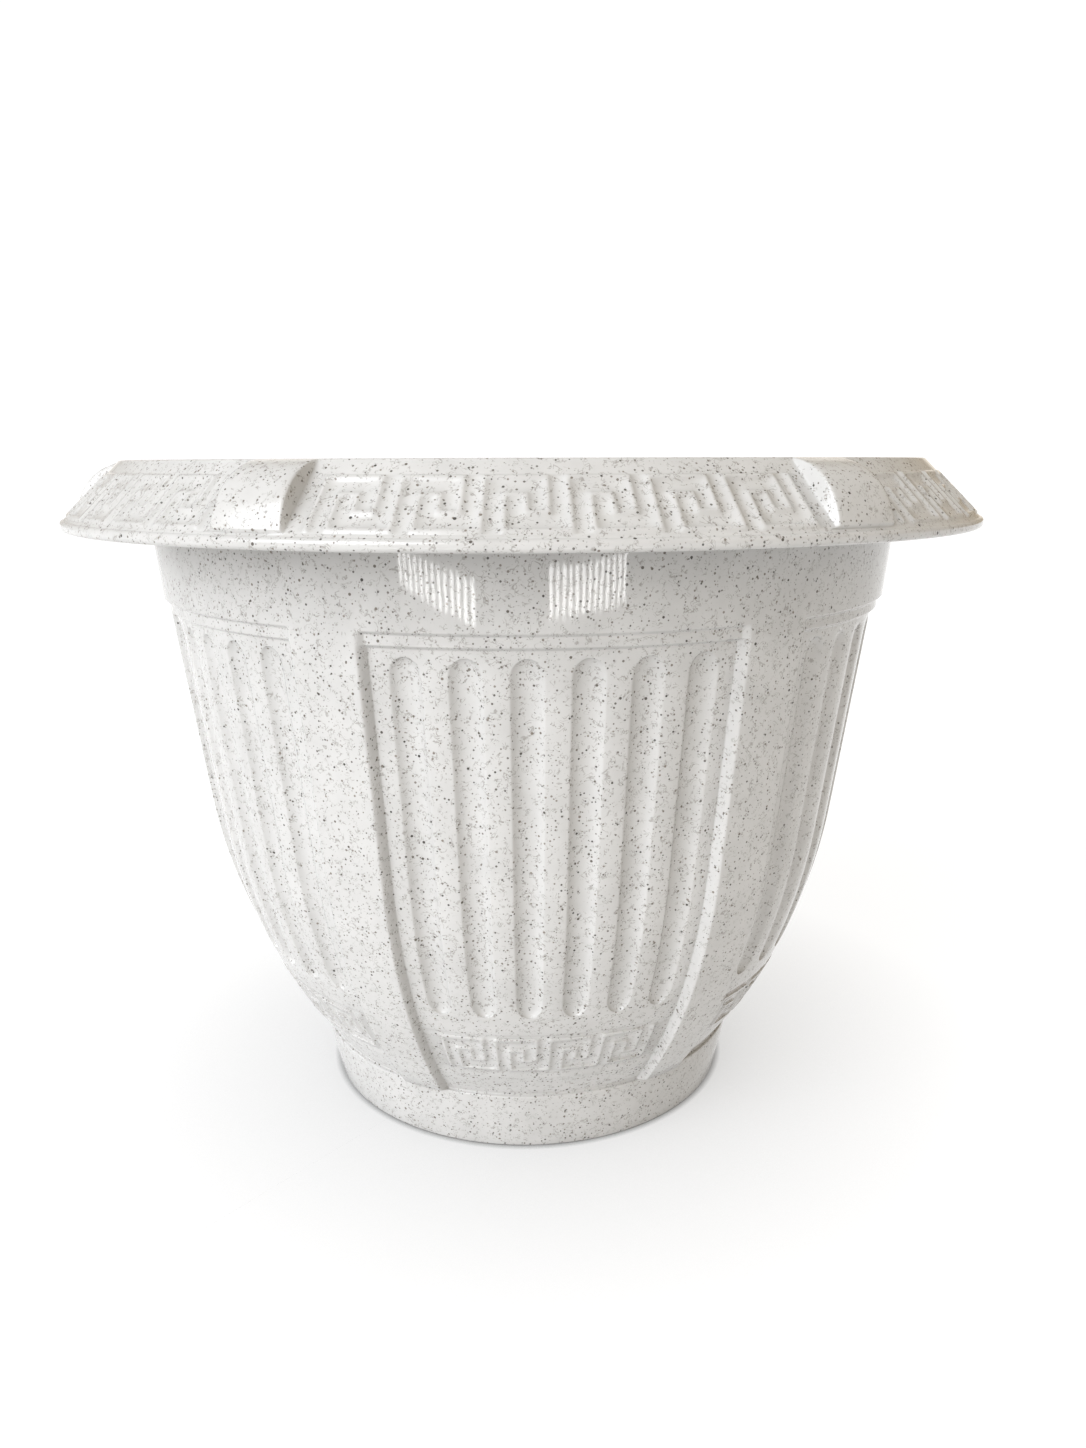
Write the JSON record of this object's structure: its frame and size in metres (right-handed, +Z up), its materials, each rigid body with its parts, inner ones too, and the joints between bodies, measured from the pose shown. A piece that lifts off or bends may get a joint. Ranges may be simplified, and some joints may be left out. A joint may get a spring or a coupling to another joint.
{
  "type": "urn planter",
  "caption": "Round urn planter with a flared skirt rim, fluted recessed panels between piers, a short foot, a lift-out drainage grid and push-in drain plugs.",
  "frame": {"origin": "centre of the face the planter stands on", "axes": "+Z up along the planter's axis; -Y through the middle of one panel, so piers lie on +X and -X"},
  "size_m": [0.4016, 0.4016, 0.294],
  "materials": {
    "granite_plastic": "gloss white moulding with grey and black granite specks",
    "charcoal_plastic": "satin, fine moulded texture",
    "plug_rubber": "soft matt rubber"
  },
  "bodies": {
    "planter": {"planter_shell": "granite_plastic"},
    "grid": {"drainage_grid": "charcoal_plastic"},
    "plug_1": {"drain_plug_1": "plug_rubber"},
    "plug_2": {"drain_plug_2": "plug_rubber"},
    "plug_3": {"drain_plug_3": "plug_rubber"},
    "plug_4": {"drain_plug_4": "plug_rubber"},
    "plug_5": {"drain_plug_5": "plug_rubber"},
    "plug_6": {"drain_plug_6": "plug_rubber"}
  },
  "joints": [
    {"name": "grid_lift", "type": "slide", "parent": "planter", "child": "grid", "axis": [0, 0, 1], "range_m": [0, 0.28]},
    {"name": "plug_1_pull", "type": "slide", "parent": "planter", "child": "plug_1", "axis": [0, 0, 1], "range_m": [0, 0.011]},
    {"name": "plug_2_pull", "type": "slide", "parent": "planter", "child": "plug_2", "axis": [0, 0, 1], "range_m": [0, 0.011]},
    {"name": "plug_3_pull", "type": "slide", "parent": "planter", "child": "plug_3", "axis": [0, 0, 1], "range_m": [0, 0.011]},
    {"name": "plug_4_pull", "type": "slide", "parent": "planter", "child": "plug_4", "axis": [0, 0, 1], "range_m": [0, 0.011]},
    {"name": "plug_5_pull", "type": "slide", "parent": "planter", "child": "plug_5", "axis": [0, 0, 1], "range_m": [0, 0.011]},
    {"name": "plug_6_pull", "type": "slide", "parent": "planter", "child": "plug_6", "axis": [0, 0, 1], "range_m": [0, 0.011]}
  ]
}
